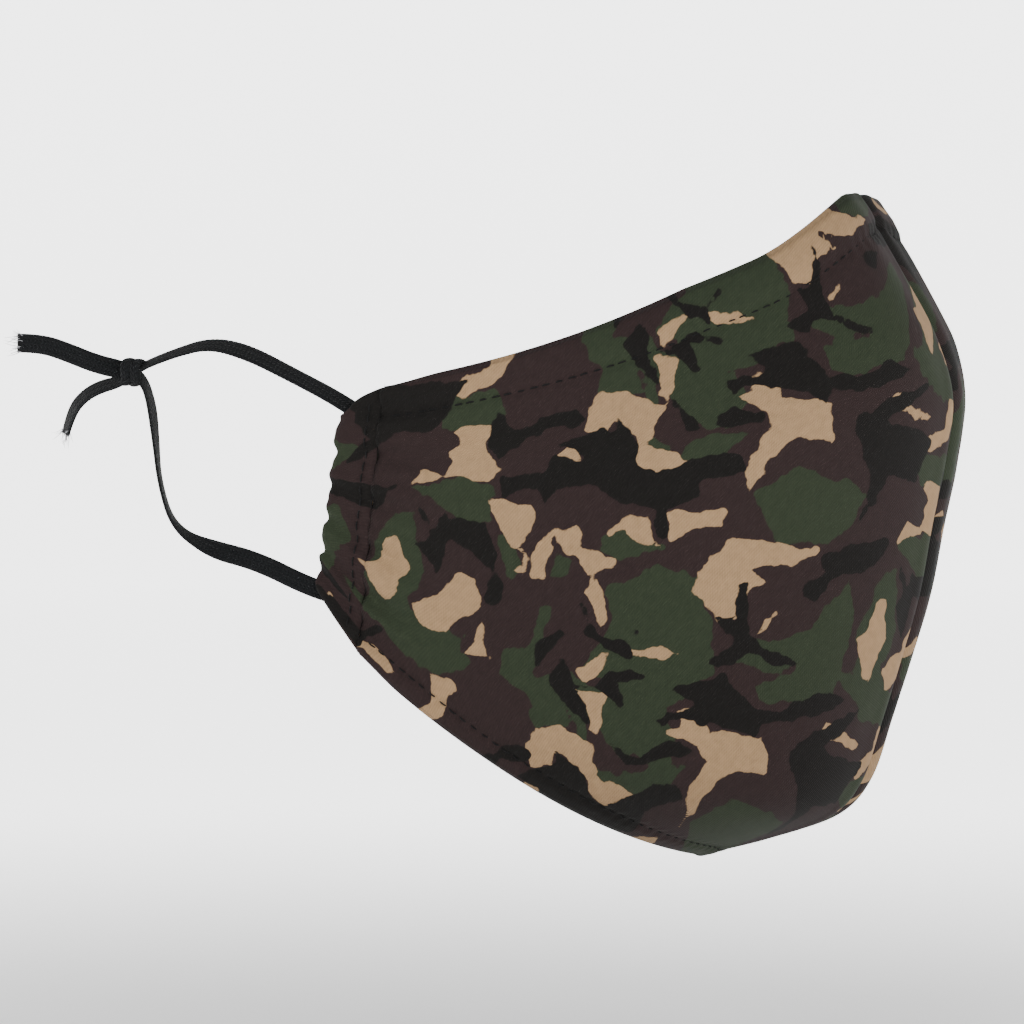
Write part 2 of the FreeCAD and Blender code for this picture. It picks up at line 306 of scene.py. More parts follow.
def relief(u, v, side):
    """Height of the cloth above the plain panel, in metres.

    Folds fade in towards the gather line, a groove follows each row of stitches, the turned hems and the
    wire stand proud, the edge rolls in at the centre seam, and broad sines give slack cloth its soft dents.
    """
    seed = 1.0 + side
    up = v * edge_run(u, 0.0)
    from_top = (1 - v) * edge_run(u, 1.0)
    from_seam = np.abs(u) * sizes().half_width * np.pi / 2
    fold = sizes().gathers * gather_folds(v, seed) * ease(np.abs(u), 0.80, 1.0) ** 2
    low = 0.0009 * (0.5 * np.sin(7.0 * v + 4.5 * u + seed) + 0.5 * np.sin(11.0 * u - 6.0 * v + 2.0 * seed))
    low = low * np.sin(np.pi * np.clip(np.abs(u), 0, 1)) * np.sin(np.pi * np.clip(v, 0, 1)) ** 0.5
    top_line, hem_line = hem_depth(u, 1.0), hem_depth(u, 0.0)
    turned = 0.00035 * ease(-from_top, -top_line, -0.8 * top_line)
    turned = turned + 0.0003 * ease(-up, -hem_line, -0.6 * hem_line)
    groove = -0.0004 * hump(from_top, top_line, 0.0009) - 0.0003 * hump(up, hem_line, 0.0008)
    pull = 0.00012 * np.sin(2 * np.pi * from_seam / sizes().stitch) * (
        hump(from_top, top_line, 0.002) + hump(up, hem_line, 0.002))
    wire = 0.0003 * hump(from_top, top_line / 2, 0.0022) * (1 - ease(np.abs(u), 0.66, 0.76))
    seam = -0.0011 * hump(from_seam, 0, 0.0014) + 0.0003 * hump(from_seam, 0.004, 0.002)
    return fold + low + turned + groove + pull + wire + seam


def panel_layer(u, v, side, depth):
    """Points of one layer of cloth of a side's panel, at a depth below its outer face.

    Beside the centre seam the distance from the middle plane eases to SEAM_OVERLAP past it, so the panels
    meet.
    """
    points = panel_base(u, v) + panel_normal(u, v) * (relief(u, v, side) - depth)[..., None]
    points[..., 0] = np.maximum(points[..., 0], 0) * ease(np.abs(u), 0.0, 0.02) - SEAM_OVERLAP
    return points * np.array([side, 1.0, 1.0])


def cloth_lengths(points):
    """Flat pattern coordinates of a grid: the lengths run along its rows and up its columns."""
    across = np.linalg.norm(np.diff(points, axis=0), axis=-1)
    across = np.concatenate([np.zeros((1, points.shape[1])), np.cumsum(across, 0)])
    up = np.linalg.norm(np.diff(points, axis=1), axis=-1)
    up = np.concatenate([np.zeros((points.shape[0], 1)), np.cumsum(up, 1)], 1)
    return np.stack([across, up], -1)


def cloth_place(u, v):
    """Where a point of the panel lies on the flat cloth, with the straight grain upright.

    The cut edge at the seam is curved, so the first number is the level length from the seam plus how far
    back the seam is there. The second is the height, stretched where the cloth is gathered.
    """
    steps = np.linspace(0, 1, 121)[:, None]
    path = panel_base(u.ravel()[None] * steps, np.broadcast_to(v.ravel(), (121, v.size)))
    level = np.linalg.norm(np.diff(path[..., :2], axis=0), axis=-1).sum(0).reshape(u.shape)
    cut_back = smooth_curve(SEAM, v)[..., 0] - SEAM[:, 0].min()
    height = panel_base(u, v)[..., 2] * (1 + 0.25 * ease(np.abs(u), 0.85, 1.0))
    return np.stack([level + cut_back, height], -1)


# ---------------------------------------------------------------- mesh helpers

def grid_faces(rows, columns, wrap=False, start=0):
    """Quads of a grid whose vertices count along columns first, last column joined to first if wrapped."""
    i = np.arange(rows - 1)[:, None]
    j = np.arange(columns if wrap else columns - 1)[None, :]
    k = (j + 1) % columns
    quads = np.stack([i * columns + j, (i + 1) * columns + j, (i + 1) * columns + k, i * columns + k], -1)
    return quads.reshape(-1, 4) + start


def rim_faces(rows, columns, start):
    """Quads that join the borders of two equal grids, the second beginning at vertex start."""
    grid = np.arange(rows * columns).reshape(rows, columns)
    loop = np.concatenate([grid[:-1, 0], grid[-1, :-1], grid[:0:-1, -1], grid[0, :0:-1]])
    ahead = np.roll(loop, -1)
    return np.stack([ahead, loop, loop + start, ahead + start], -1)


def add_piece(name, points, faces, material, body, uv=None, fields=None, flip=False, smooth=True):
    """New mesh object from whole arrays: points, faces, a UV map of per-point places, named point fields."""
    if flip:
        faces = faces[:, ::-1]
    mesh = bpy.data.meshes.new(name)
    corners = faces.shape[1]
    mesh.vertices.add(len(points))
    mesh.vertices.foreach_set("co", np.asarray(points, np.float32).ravel())
    mesh.loops.add(faces.size)
    mesh.loops.foreach_set("vertex_index", faces.astype(np.int32).ravel())
    mesh.polygons.add(len(faces))
    mesh.polygons.foreach_set("loop_start", np.arange(0, faces.size, corners, dtype=np.int32))
    mesh.update(calc_edges=True)
    mesh.polygons.foreach_set("use_smooth", np.full(len(faces), smooth))
    if uv is not None:
        layer = mesh.uv_layers.new(name="cloth")
        layer.data.foreach_set("uv", np.asarray(uv, np.float32)[faces.ravel()].ravel())
    for field, values in (fields or {}).items():
        layer = mesh.attributes.new(field, "FLOAT", "POINT")
        layer.data.foreach_set("value", values.astype(np.float32).ravel())
    if mesh.validate():
        raise ValueError(name + " has faulty faces")
    if not np.isfinite(points).all():
        raise ValueError(name + " has a point that is no number")
    piece = bpy.data.objects.new(name, mesh)
    bpy.context.scene.collection.objects.link(piece)
    mesh.materials.append(material)
    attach(piece, body)
    return piece


def add_sheet(name, outer, inner, material, body, uv, fields=None, side=1.0):
    """Closed sheet from two equal grids of points, its outer and inner faces joined by a rim."""
    rows, columns = outer.shape[:2]
    count = rows * columns
    faces = np.concatenate([grid_faces(rows, columns), grid_faces(rows, columns, start=count)[:, ::-1],
                            rim_faces(rows, columns, count)])
    points = np.concatenate([outer.reshape(-1, 3), inner.reshape(-1, 3)])
    twice = {key: np.tile(value.ravel(), 2) for key, value in (fields or {}).items()}
    return add_piece(name, points, faces, material, body, np.tile(uv.reshape(-1, 2), (2, 1)), twice,
                     flip=side < 0)


def flatten(piece):
    """Gives the piece its own copy of its mesh."""
    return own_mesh(piece)


# ---------------------------------------------------------------- printed cloth

PRINT_ALONG = (104.0, 11.6)      # step to the next repeat of the print along the cloth, millimetres
PRINT_UP = (-13.8, 65.5)         # and to the one above
LEFT_LAY = (31.0, 24.0)          # where the left panel is cut from the cloth, millimetres
PRINT_REACH = 3.0                # patches are measured no further than this from their edges

# Outlines of the patches in one repeat of the print: millimetres along and up the cloth
TAN_PATCHES = [
    [(91, 17), (88, 20), (83, 20), (76, 17), (77, 13), (76, 11), (78, 10), (71, 8), (67, 5), (71, 4),
     (76, 3), (79, 7), (79, 10), (83, 14), (85, 15), (86, 12), (91, 12)],
    [(59, 23), (55, 24), (52, 19), (47, 19), (41, 18), (39, 10), (42, 11), (48, 11), (51, 9), (58, -1),
     (57, 7), (53, 13), (55, 16), (61, 19), (58, 20)],
    [(118, 13), (115, 14), (110, 13), (110, 9), (105, 5), (108, 2), (115, 4), (125, 2), (122, 6),
     (117, 4), (115, 7), (117, 9), (115, 10)],
    [(108, -1), (104, -1), (99, -3), (100, -8), (102, -10), (101, -11), (102, -15), (104, -15),
     (102, -12), (106, -8), (107, -4)],
    [(97, -7), (91, -6), (90, -10), (83, -12), (84, -14), (89, -15), (96, -8), (98, -16), (101, -16),
     (100, -11)],
    [(88, -16), (86, -21), (87, -25), (90, -19)],
    [(85, -7), (82, -4), (77, -4), (76, -8), (75, -10), (80, -9), (82, -7), (85, -8)],
    [(73, -3), (62, -3), (63, -6), (68, -6), (73, -9)],
    [(69, -19), (67, -13), (60, -8), (54, -9), (43, -11), (49, -14), (58, -14), (54, -17), (59, -19),
     (60, -24), (64, -24)],
    [(57, -28), (55, -25), (52, -23), (54, -26)],
    [(83, -30), (76, -30), (72, -31), (75, -32), (80, -32)],
    [(92, -34), (86, -30), (85, -30), (89, -35), (91, -37)],
    [(93, -38), (87, -39), (89, -47), (91, -46), (90, -45)],
    [(131, -10), (128, -10), (126, -17), (130, -24), (131, -26), (133, -24), (136, -17), (133, -16)],
    [(126, -24), (120, -20), (115, -15), (112, -16), (111, -22), (116, -25), (121, -28), (124, -28)],
    [(111, -24), (110, -32), (115, -31), (113, -29)],
    [(95, 7), (92, 10), (90, 7)],
    [(27, 18), (25, 20), (13, 15), (16, 14), (21, 16)],
    [(6, 19), (0, 17), (5, 11), (12, 8), (16, 10), (7, 13)],
]
BLACK_PATCHES = [
    [(110, 10), (109, 17), (105, 13), (99, 15), (93, 17), (91, 15), (92, 13), (98, 13), (101, 11),
     (106, 7), (109, 9)],
    [(95, 10), (88, 12), (85, 13), (85, 15), (82, 13), (79, 10), (79, 7), (76, 3), (66, 5), (67, 0),
     (73, -3), (73, -8), (76, -9), (76, -7), (74, -3), (82, -1), (88, 2), (95, 1), (97, -2), (98, 2),
     (105, 0), (105, 3), (97, 5), (95, 7), (90, 7), (91, 9)],
    [(80, 7), (75, 4), (65, 8), (59, 8), (57, 5), (66, 3), (73, -1), (74, -9), (76, -8), (75, -2), (80, 0)],
    [(125, 0), (120, -7), (118, -2), (117, -5), (109, -5), (108, -11), (106, -18), (108, -21),
     (110, -21), (109, -15), (113, -11), (117, -9), (120, -17), (124, -11), (121, -9), (123, -5)],
    [(100, -29), (96, -26), (94, -27), (98, -30), (100, -34), (101, -33)],
    [(91, -21), (90, -22), (88, -27), (85, -28), (82, -28), (79, -25), (79, -26), (81, -29), (81, -32),
     (87, -30), (90, -27)],
    [(96, -32), (94, -33), (93, -37), (89, -37), (86, -34), (78, -35), (79, -36), (85, -36), (83, -41),
     (84, -42), (88, -38), (93, -38), (90, -45), (91, -45), (95, -41), (98, -36)],
    [(74, -43), (68, -41), (73, -38), (63, -35), (61, -38), (56, -42), (50, -42), (42, -39), (33, -41),
     (49, -45), (55, -45), (56, -48), (59, -46), (74, -44), (76, -46), (78, -43)],
    [(76, 20), (74, 18), (67, 13), (61, 17), (55, 16), (55, 14), (64, 13), (70, 12), (73, 16)],
    [(60, -17), (58, -17), (58, -27), (53, -31), (46, -33), (47, -34), (58, -31), (61, -34), (66, -33),
     (61, -29), (64, -24), (60, -25)],
    [(47, -18), (40, -16), (43, -12), (34, -10), (23, -9), (29, -15), (39, -16), (43, -21), (46, -20)],
    [(35, 15), (27, 19), (15, 22), (21, 17), (26, 15), (20, 13), (11, 11), (17, 3), (25, 3), (33, -6),
     (30, 2)],
]
GREEN_PATCHES = [
    [(122, 18), (118, 19), (110, 20), (106, 17), (105, 15), (111, 13), (118, 13)],
    [(125, 2), (113, 4), (107, 2), (108, -5), (114, -6), (119, -3)],
    [(129, -4), (125, -4), (122, -17), (127, -23), (123, -28), (114, -27), (116, -31), (110, -32),
     (121, -36), (131, -34), (136, -26), (135, -15)],
    [(106, -8), (103, -13), (103, -16), (106, -18), (106, -13)],
    [(95, -9), (93, -13), (94, -16), (97, -16)],
    [(86, -17), (77, -15), (67, -16), (68, -38), (75, -41), (83, -44), (73, -47), (74, -53), (80, -53),
     (87, -47), (88, -41), (87, -31), (86, -24)],
    [(86, -8), (81, -7), (75, -10), (83, -13), (87, -11)],
    [(107, -30), (101, -29), (99, -22), (97, -22), (101, -35), (97, -35), (94, -46), (102, -46),
     (102, -41), (107, -35)],
    [(82, 32), (76, 28), (62, 24), (60, 19), (66, 15), (70, 14), (77, 21), (77, 13), (69, 7), (75, 7),
     (78, 10)],
    [(71, 10), (62, 13), (57, 12), (60, 8), (69, 6)],
    [(46, 36), (34, 38), (21, 46), (21, 40), (32, 32), (39, 30), (47, 33)],
    [(56, 0), (47, 6), (31, 0), (32, -3), (40, -10), (51, -10), (54, -4)],
    [(58, -37), (48, -34), (42, -24), (35, -17), (33, -24), (38, -40), (50, -41), (56, -41)],
    [(23, 30), (2, 26), (0, 20), (8, 18), (18, 25)],
    [(81, -16), (76, -14), (69, -17), (65, -25), (65, -35), (74, -39), (82, -42)],
    [(72, 40), (57, 46), (55, 44), (57, 37), (68, 33), (75, 30), (78, 32)],
]


def patch_inside(place, outline):
    """Distance inside an outline, negative outside: to its nearest edge, signed by counting crossings."""
    corners = np.array(outline, float)
    middle = corners.mean(0)
    repeat = np.array((PRINT_ALONG, PRINT_UP))
    steps = np.round((place - middle) @ np.linalg.inv(repeat))
    x, y = np.moveaxis(place - steps @ repeat, -1, 0)
    nearest = np.full(x.shape, 1e9)
    inside = np.zeros(x.shape, bool)
    for (ax, ay), (bx, by) in zip(corners, np.roll(corners, -1, axis=0)):
        ex, ey = bx - ax, by - ay
        share = np.clip(((x - ax) * ex + (y - ay) * ey) / (ex * ex + ey * ey + 1e-9), 0, 1)
        nearest = np.minimum(nearest, np.hypot(x - ax - share * ex, y - ay - share * ey))
        crosses = (ay > y) != (by > y)
        inside ^= crosses & (x < ax + ex * (y - ay) / (ey if ey else 1e-9))
    return np.clip(np.where(inside, nearest, -nearest), -PRINT_REACH, PRINT_REACH)


def print_fields(flat, side):
    """Millimetres inside the tan, black and green patches over a grid of flat cloth given in metres.

    The print isn't mirrored: the left panel is cut from the same cloth with its length the other way.
    """
    place = flat / MM
    if side > 0:
        place = place * np.array((-1.0, 1.0)) + np.array(LEFT_LAY)
    named = {"tan": TAN_PATCHES, "black": BLACK_PATCHES, "green": GREEN_PATCHES}
    return {name: np.max([patch_inside(place, outline) for outline in outlines], axis=0)
            for name, outlines in named.items()}


# ---------------------------------------------------------------- materials

def node(tree, kind, settings=None, **links):
    """New shader node with its settings, each named input given a value or another node's output."""
    made = tree.nodes.new(kind)
    for key, value in (settings or {}).items():
        setattr(made, key, value)
    for key, value in links.items():
        socket = made.inputs[int(key[1:])] if key[0] == "i" and key[1:].isdigit() else made.inputs[key]
        if isinstance(value, bpy.types.NodeSocket):
            tree.links.new(value, socket)
        else:
            socket.default_value = value
    return made


def maths(tree, operation, a, b=0.0, clamp=False):
    """Output of a Math node."""
    return node(tree, "ShaderNodeMath", {"operation": operation, "use_clamp": clamp}, i0=a, i1=b).outputs[0]


def blend_colour(tree, share, low, high):
    """Colour between low and high by share."""
    mix = node(tree, "ShaderNodeMix", {"data_type": "RGBA"}, i0=share, i6=low, i7=high)
    return mix.outputs[2]


def rgba(colour):
    """Four numbers of a colour setting."""
    return (*colour, 1.0)


def new_material(name, roughness, sheen=0.0, metallic=0.0):
    """Material with a Principled shader whose constant values sit on its own sockets."""
    made = bpy.data.materials.new(name)
    made.use_nodes = True
    shader = made.node_tree.nodes["Principled BSDF"]
    shader.inputs["Roughness"].default_value = roughness
    shader.inputs["Sheen Weight"].default_value = sheen
    shader.inputs["Sheen Roughness"].default_value = 0.45
    shader.inputs["Metallic"].default_value = metallic
    shader.inputs["Specular IOR Level"].default_value = 0.12
    return made, made.node_tree, shader


def cloth_coordinates(tree):
    """The piece's own UV map, in metres of cloth."""
    return node(tree, "ShaderNodeUVMap", {"uv_map": "cloth"}).outputs[0]


def noise(tree, place, size, detail=2.0, rough=0.5, seed=0.0):
    """Noise texture whose features are about size metres wide."""
    return node(tree, "ShaderNodeTexNoise", {"noise_dimensions": "4D"}, Vector=place, W=seed,
                Scale=1.0 / size, Detail=detail, Roughness=rough).outputs[0]


def finish_surface(tree, shader, ink, shade=None, height=None, strength=1.0, distance=0.0001):
    """Joins a colour, darkened by a shade if given, and a bump of the given height to the shader."""
    if shade is not None:
        ink = node(tree, "ShaderNodeVectorMath", {"operation": "SCALE"}, i0=ink, Scale=shade).outputs[0]
    tree.links.new(ink, shader.inputs["Base Color"])
    if height is not None:
        bump = node(tree, "ShaderNodeBump", {}, Strength=strength, Distance=distance, Height=height)
        tree.links.new(bump.outputs[0], shader.inputs["Normal"])


def weave(tree, place, pitch):
    """Twill ribs: one fine wave along the cloth and one across it, half as strong."""
    ribs = node(tree, "ShaderNodeTexWave", {"bands_direction": "DIAGONAL"}, Vector=place,
                Scale=0.444 / pitch, Distortion=0.6, Detail=2.0)
    cross = node(tree, "ShaderNodeTexWave", {"bands_direction": "X"}, Vector=place, Scale=0.314 / pitch,
                 Distortion=0.5, Detail=1.0)
    return maths(tree, "ADD", ribs.outputs[1], maths(tree, "MULTIPLY", cross.outputs[1], 0.5))


def patches(tree, place, field, seed, ragged):
    """Share inside the patches: their distance inwards plus a wavy and a fine raggedness, in millimetres."""
    given = node(tree, "ShaderNodeAttribute", {"attribute_name": field}).outputs[2]
    wavy = maths(tree, "SUBTRACT", noise(tree, place, 0.0045, 1.0, 0.5, seed), 0.5)
    fine = maths(tree, "SUBTRACT", noise(tree, place, 0.0013, 1.0, 0.5, seed + 5.0), 0.5)
    edge = maths(tree, "ADD", maths(tree, "MULTIPLY", wavy, ragged), maths(tree, "MULTIPLY", fine, 0.9))
    inside = maths(tree, "MULTIPLY", maths(tree, "ADD", given, edge), 5.0)
    return maths(tree, "ADD", inside, 0.5, clamp=True)


def printed_cloth():
    """Four-colour woodland print on matt cotton twill: ragged patches over a brown ground."""
    made, tree, shader = new_material("printed_cloth", 0.92, sheen=0.02)
    place = cloth_coordinates(tree)
    picks = colours()
    ink = rgba(picks.brown)
    for field, seed, ragged in (("green", 11.0, 5.0), ("tan", 23.0, 3.2), ("black", 37.0, 3.6)):
        share = patches(tree, place, field, seed, ragged)
        ink = blend_colour(tree, share, ink, rgba(getattr(picks, field)))
    ribs = weave(tree, place, 0.0005)
    worn = noise(tree, place, 0.0016, 3.0, 0.6, 1.0)
    shade = maths(tree, "ADD", maths(tree, "MULTIPLY", ribs, 0.13), maths(tree, "MULTIPLY", worn, 0.5))
    shade = maths(tree, "ADD", shade, 0.65)
    finish_surface(tree, shader, ink, shade, ribs, 0.5, 0.00008)
    return made


def plain_cloth(name, colour, pitch):
    """Matt plain-weave cotton with fine ribs and a slight mottle."""
    made, tree, shader = new_material(name, 0.92, sheen=0.15)
    place = cloth_coordinates(tree)
    ribs = weave(tree, place, pitch)
    mottle = noise(tree, place, 0.004, 4.0, 0.6, 5.0)
    shade = maths(tree, "ADD", maths(tree, "MULTIPLY", ribs, 0.35), maths(tree, "ADD", mottle, 0.2))
    finish_surface(tree, shader, tuple(colour), shade, ribs, 0.6, 0.0001)
    return made


def twisted_thread(name, colour):
    """Thread with a faint variation along its length."""
    made, tree, shader = new_material(name, 0.85)
    place = node(tree, "ShaderNodeTexCoord").outputs["Object"]
    mottle = noise(tree, place, 0.0006, 2.0, 0.5, 2.0)
    finish_surface(tree, shader, tuple(colour), maths(tree, "ADD", mottle, 0.5))
    return made


def braided_elastic():
    """Flat braid: slanted ribs that meet in a herringbone, with a soft sheen on the raised yarns."""
    made, tree, shader = new_material("braided_elastic", 0.7, sheen=0.03)
    place = cloth_coordinates(tree)
    split = node(tree, "ShaderNodeSeparateXYZ", {}, Vector=place)
    slant = maths(tree, "MULTIPLY", maths(tree, "PINGPONG", split.outputs[0], 0.0006), 1.2)
    along = maths(tree, "ADD", split.outputs[1], slant)
    yarn = maths(tree, "SINE", maths(tree, "MULTIPLY", along, 2 * np.pi / 0.0008))
    rows = maths(tree, "COSINE", maths(tree, "MULTIPLY", split.outputs[0], 2 * np.pi / 0.0006))
    height = maths(tree, "ADD", yarn, maths(tree, "MULTIPLY", rows, 0.6))
    mottle = noise(tree, place, 0.002, 3.0, 0.6, 4.0)
    shade = maths(tree, "ADD", maths(tree, "MULTIPLY", height, 0.3), maths(tree, "ADD", mottle, 0.75))
    finish_surface(tree, shader, tuple(colours().elastic), shade, height, 0.8, 0.00015)
    return made


def soft_aluminium():
    """Dull rolled aluminium with fine lines along the strip."""
    made, tree, shader = new_material("soft_aluminium", 0.42, metallic=1.0)
    place = node(tree, "ShaderNodeTexCoord").outputs["Object"]
    lines = noise(tree, place, 0.0008, 3.0, 0.6, 6.0)
    ink = blend_colour(tree, lines, (0.62, 0.63, 0.64, 1.0), (0.80, 0.80, 0.81, 1.0))
    finish_surface(tree, shader, ink, None, lines, 0.3, 0.00005)
    return made


MATERIALS = {}


def material(name):
    """The named finish, made the first time it is asked for."""
    if name not in MATERIALS:
        recipes = {
            "printed_cloth": printed_cloth,
            "lining_cloth": lambda: plain_cloth("lining_cloth", colours().lining, 0.0004),
            "thread": lambda: twisted_thread("thread", colours().thread),
            "fibre": lambda: twisted_thread("fibre", colours().fibre),
            "braided_elastic": braided_elastic,
            "soft_aluminium": soft_aluminium,
        }
        MATERIALS[name] = recipes[name]()
    return MATERIALS[name]


# ---------------------------------------------------------------- pieces of the shell

def panel_grid(u_low, u_high, v_low, v_high, rows, columns):
    """Two equal arrays of u and v over a rectangle of the panel."""
    return np.meshgrid(np.linspace(u_low, u_high, rows), np.linspace(v_low, v_high, columns), indexing="ij")


def sheet_of_panel(name, side, span, cells, depth, finish):
    """One closed layer of cloth of a side's panel, with its print if the finish has one."""
    u, v = panel_grid(*span, *cells)
    outer = panel_layer(u, v, side, depth)
    inner = panel_layer(u, v, side, depth + sizes().cloth)
    flat = cloth_place(u, v)
    fields = print_fields(flat, side) if finish == "printed_cloth" else None
    return add_sheet(name, outer, inner, material(finish), SHELL, flat, fields, side)


def layer_depth(number):
    """Depth of a layer of cloth below the outer face."""
    return number * (sizes().cloth + LAYER_GAP)


class MASK_OT_outer_panels(bpy.types.Operator):
    """Add the two printed outer panels"""

    bl_idname = "mask.outer_panels"
    bl_label = "Outer panels"

    def execute(self, context):
        for word, side in SIDES.items():
            panel = sheet_of_panel("outer_cloth_" + word, side, (0.0, 1.0, 0.0, 1.0), (150, 170), 0.0,
                                   "printed_cloth")
            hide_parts("outer_panel_" + word)
            flatten(panel)
        return {"FINISHED"}


class MASK_OT_lining_panels(bpy.types.Operator):
    """Add the two plain lining panels"""

    bl_idname = "mask.lining_panels"
    bl_label = "Lining panels"

    def execute(self, context):
        depth = layer_depth(1) + 0.0008
        for word, side in SIDES.items():
            panel = sheet_of_panel("lining_cloth_" + word, side, (0.002, 0.985, 0.004, 0.996), (110, 120),
                                   depth, "lining_cloth")
            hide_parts("lining_panel_" + word)
            flatten(panel)
        return {"FINISHED"}


def turned_edge(v_edge, rows):
    """Hem turned over an edge: a half circle round the layers, then a strip down their inner side.

    The first columns follow the circle's sine and cosine between the outer face and the strip's depth, and
    the others step evenly from the edge to the raw end. The circle shrinks at both ends of the edge.
    """
    u = np.linspace(0.002, 0.995, rows)[:, None]
    inward = 1 - 2 * v_edge
    run = edge_run(u, v_edge)
    ends = (1 - 0.8 * ease(u, 0.90, 0.995)) * (0.45 + 0.55 * ease(u, 0.0, 0.06))
    full = (layer_depth(2) + FOLD_ROOM) * ends
    turns = np.linspace(0, np.pi, 9)
    v = np.concatenate([v_edge - inward * full / 2 / run * np.sin(turns),
                        v_edge + inward * hem_share(u, v_edge) * np.linspace(0, 1, 14)[1:]], 1)
    depth = np.concatenate([full / 2 * (1 - np.cos(turns)), full * np.ones(13)], 1)
    return np.broadcast_to(u, v.shape), v, depth, run


def hem_points(u, v, side, depth, run):
    """Points of a hem: the panel's layer, carried straight on past the panel's edge."""
    inside = np.clip(v, 0.0, 1.0)
    step = 0.004
    higher = panel_layer(u, np.clip(inside, step, 1.0), side, depth)
    up = higher - panel_layer(u, np.clip(inside, step, 1.0) - step, side, depth)
    up = up / np.linalg.norm(up, axis=-1, keepdims=True)
    return panel_layer(u, inside, side, depth) + up * ((v - inside) * run)[..., None]


def add_hem(name, side, v_edge, node_name):
    """Turned hem of the printed cloth along the top or bottom edge."""
    u, v, depth, run = turned_edge(v_edge, 130)
    outer = hem_points(u, v, side, depth, run)
    inward = 1 - 2 * v_edge
    turned_in = 0.8 * sizes().cloth * np.sin(np.linspace(0, np.pi, v.shape[1])) ** 0.3
    inner = hem_points(u, v + inward * 0.5 * turned_in / run, side,
                       depth - 0.6 * turned_in * np.sign(depth - depth.mean()), run)
    flat = cloth_place(u, v)
    piece = add_sheet(name, outer, inner, material("printed_cloth"), SHELL, flat,
                      print_fields(flat, side), -side * inward)
    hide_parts(node_name)
    return flatten(piece)


class MASK_OT_hems(bpy.types.Operator):
    """Add the turned top and bottom hems"""

    bl_idname = "mask.hems"
    bl_label = "Hems"

    def execute(self, context):
        for word, side in SIDES.items():
            add_hem("top_turned_hem_" + word, side, 1.0, "top_hem_" + word)
            add_hem("chin_turned_hem_" + word, side, 0.0, "bottom_hem_" + word)
        return {"FINISHED"}


class MASK_OT_seam_allowances(bpy.types.Operator):
    """Add the cut edges that are turned back beside the centre seam"""

    bl_idname = "mask.seam_allowances"
    bl_label = "Seam allowances"

    def execute(self, context):
        for word, side in SIDES.items():
            strip = sheet_of_panel("seam_turning_" + word, side, (0.0, 0.055, 0.035, 0.93), (8, 120),
                                   layer_depth(1), "printed_cloth")
            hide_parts("seam_allowance_" + word)
            flatten(strip)
        return {"FINISHED"}


class MASK_OT_nose_wire(bpy.types.Operator):
    """Add the aluminium strip in the top hem"""

    bl_idname = "mask.nose_wire"
    bl_label = "Nose wire"

    def execute(self, context):
        reach, rounding = 0.75, 0.03
        width, thick = 0.004, 0.0006
        u, v = panel_grid(-reach, reach, 0.0, 1.0, 90, 7)
        past = np.clip(np.abs(u) - reach + rounding, 0, 1) / rounding
        ends = 0.5 * width * np.sqrt(np.clip(1 - past ** 2, 0.02, 1))
        v = 1 - 0.5 * hem_share(u, 1.0) + (2 * v - 1) * ends / edge_run(u, 1.0)
        depth = layer_depth(1)
        out = panel_normal(u, v)
        base = panel_base(u, v)
        rise = relief(np.abs(u), v, 1.0)
        outer = base + out * (np.minimum(rise, 0.0003) - depth)[..., None]
        inner = outer - out * thick
        flat = cloth_lengths(outer)
        strip = add_sheet("nose_strip", outer, inner, material("soft_aluminium"), SHELL, flat)
        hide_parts("nose_wire")
        flatten(strip)
        return {"FINISHED"}


# ---------------------------------------------------------------- stitching

def stitch_row(places, outs, length, thick):
    """Row of stitches: each a short six-sided thread that arches out of the cloth and dives back in.

    places are the stitches' centres, outs the cloth's directions there. A stitch's line is half a sine.
    """
    along = np.gradient(places, axis=0)
    along /= np.linalg.norm(along, axis=1, keepdims=True)
    beside = np.cross(outs, along)
    t = np.linspace(-1, 1, 7)
    rise = (np.cos(t * np.pi / 2) - 0.35) * thick * 1.5
    spine = (places[:, None] + along[:, None] * (t * length / 2)[None, :, None]
             + outs[:, None] * rise[None, :, None])
    round_it = np.linspace(0, 2 * np.pi, 6, endpoint=False)
    girth = thick / 2 * np.sqrt(np.clip(1.05 - t ** 6, 0.05, 1))
    ring = (beside[:, None, None] * np.cos(round_it)[None, None, :, None]
            + outs[:, None, None] * np.sin(round_it)[None, None, :, None]) * girth[None, :, None, None]
    points = spine[:, :, None] + ring
    one = grid_faces(7, 6, wrap=True)
    faces = (one[None] + (np.arange(len(places)) * 42)[:, None, None]).reshape(-1, 4)
    return points.reshape(-1, 3), faces


def add_stitches(name, places, outs, body, node_name, length, thick=0.00032):
    """Row of stitches as one piece."""
    points, faces = stitch_row(places, outs, length, thick)
    piece = add_piece(name, points, faces, material("thread"), body)
    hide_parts(node_name)
    return piece


def row_on_panel(side, v_of_u, u_low, u_high, lift):
    """Evenly spaced places and directions along a line of the panel, v given as a function of u."""
    fine_u = np.linspace(u_low, u_high, 900)
    fine = panel_layer(fine_u, v_of_u(fine_u), side, -lift)
    length = np.concatenate([[0], np.cumsum(np.linalg.norm(np.diff(fine, axis=0), axis=1))])
    count = int(length[-1] / sizes().stitch)
    u = np.interp((np.arange(count) + 0.5) * length[-1] / count, length, fine_u)
    outs = panel_normal(u, v_of_u(u)) * np.array([side, 1, 1])
    return panel_layer(u, v_of_u(u), side, -lift), outs


